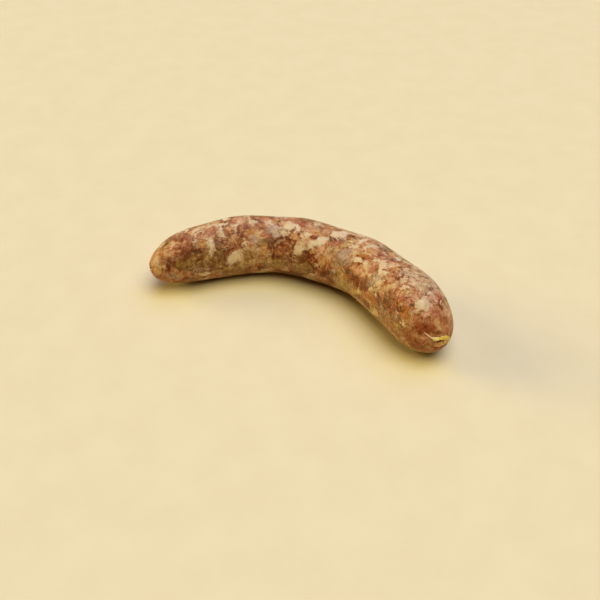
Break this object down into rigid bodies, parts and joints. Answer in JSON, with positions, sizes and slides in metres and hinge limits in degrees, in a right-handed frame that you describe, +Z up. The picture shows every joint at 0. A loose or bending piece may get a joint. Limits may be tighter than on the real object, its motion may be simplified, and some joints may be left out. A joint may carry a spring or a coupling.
{
  "type": "raw sausage link",
  "caption": "Curved raw sausage link of coarse-ground meat in a thin natural casing, with rounded, puckered ends, lying on its underside.",
  "frame": {"origin": "middle of the footprint's box, on the surface the link lies on", "axes": "+X from the thinner end to the thicker end, +Y towards the outer (convex) side of the bend, +Z up"},
  "size_m": [0.1742, 0.0694, 0.0344],
  "materials": {
    "casing": "thin moist natural casing over coarse-ground raw meat and cream-coloured fat, soft satin sheen"
  },
  "bodies": {
    "root": {"sausage_link": "casing"}
  },
  "joints": []
}
